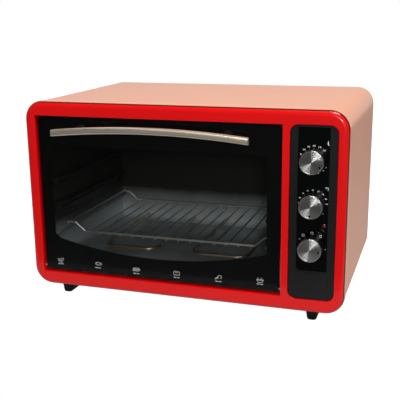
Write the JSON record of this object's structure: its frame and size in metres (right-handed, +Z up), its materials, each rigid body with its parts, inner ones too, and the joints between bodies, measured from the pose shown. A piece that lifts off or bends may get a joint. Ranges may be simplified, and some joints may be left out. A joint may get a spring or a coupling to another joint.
{
  "type": "electric countertop oven",
  "caption": "Countertop electric oven: rounded box with a drop-down glass door, arched bar handle, wire rack, tubular heaters and a side control panel with rotary knobs.",
  "frame": {"origin": "centre of the bounding box at the bottom of the feet", "axes": "+X to the right seen from the front, +Y towards the back, +Z up; the door faces -Y"},
  "size_m": [0.52, 0.3684, 0.3265],
  "materials": {
    "red_enamel": "gloss",
    "salmon_enamel": "satin",
    "zinc_steel": "satin",
    "black_enamel": "gloss",
    "door_glass": "polished",
    "brushed_stainless": "brushed",
    "bright_steel": "polished",
    "heater_steel": "oxidised",
    "white_ceramic": "matt",
    "black_plastic": "matt",
    "brown_moulding": "matt",
    "clockwork_steel": "satin",
    "copper_tube": "satin",
    "spun_aluminium": "spun",
    "red_lens": "gloss"
  },
  "bodies": {
    "oven": {"base_panel": "zinc_steel", "base_screws": "bright_steel", "control_panel": "black_plastic", "control_plate": "zinc_steel", "control_plate_screws": "bright_steel", "cord_inlet": "black_plastic", "foot_front_left": "black_plastic", "foot_front_right": "black_plastic", "foot_rear_left": "black_plastic", "foot_rear_right": "black_plastic", "front_frame": "red_enamel", "heat_shield": "zinc_steel", "heater_beads": "white_ceramic", "heater_plates": "zinc_steel", "hinge_bracket_left": "zinc_steel", "hinge_bracket_right": "zinc_steel", "hinge_spring_left": "bright_steel", "hinge_spring_right": "bright_steel", "indicator_lamp": "brown_moulding", "indicator_lens": "red_lens", "lower_heater_left": "heater_steel", "lower_heater_right": "heater_steel", "outer_casing": "salmon_enamel", "oven_chamber": "zinc_steel", "rear_panel": "zinc_steel", "rear_panel_screws": "bright_steel", "selector_body": "brown_moulding", "terminal_block": "brown_moulding", "thermostat_body": "brown_moulding", "thermostat_bulb": "copper_tube", "timer_body": "clockwork_steel", "upper_heater_left": "heater_steel", "upper_heater_right": "heater_steel"},
    "door": {"door_glass": "door_glass", "door_frame": "black_enamel", "handle_bar": "brushed_stainless", "handle_posts": "black_plastic", "handle_screws": "bright_steel", "hinge_pin_left": "bright_steel", "hinge_pin_right": "bright_steel"},
    "rack": {"wire_rack": "bright_steel"},
    "thermostat_control": {"thermostat_knob": "black_plastic", "thermostat_knob_cap": "spun_aluminium", "thermostat_shaft": "bright_steel"},
    "timer_control": {"timer_knob": "black_plastic", "timer_knob_cap": "spun_aluminium", "timer_shaft": "bright_steel"},
    "selector_control": {"selector_knob": "black_plastic", "selector_knob_cap": "spun_aluminium", "selector_shaft": "bright_steel"}
  },
  "joints": [
    {"name": "door_hinge", "type": "hinge", "parent": "oven", "child": "door", "pos_m": [-0.039, -0.14675, 0.0496], "axis": [1, 0, 0], "range_deg": [0, 90], "stiffness_Nm_per_rad": 0.5, "springref_deg": -57.3},
    {"name": "rack_slide", "type": "slide", "parent": "oven", "child": "rack", "axis": [0, -1, 0], "range_m": [0, 0.1446]},
    {"name": "thermostat_turn", "type": "hinge", "parent": "oven", "child": "thermostat_control", "pos_m": [0.209, -0.15475, 0.2534], "axis": [0, 1, 0], "range_deg": [-269, 25]},
    {"name": "timer_turn", "type": "hinge", "parent": "oven", "child": "timer_control", "pos_m": [0.209, -0.15475, 0.1884], "axis": [0, 1, 0], "range_deg": [0, 300]},
    {"name": "selector_turn", "type": "hinge", "parent": "oven", "child": "selector_control", "pos_m": [0.209, -0.15475, 0.1234], "axis": [0, 1, 0], "range_deg": [-180, 0]}
  ],
  "couplings": [
    {"joint": "rack_slide", "follows": "door_hinge", "m_per_rad": 0.092}
  ]
}
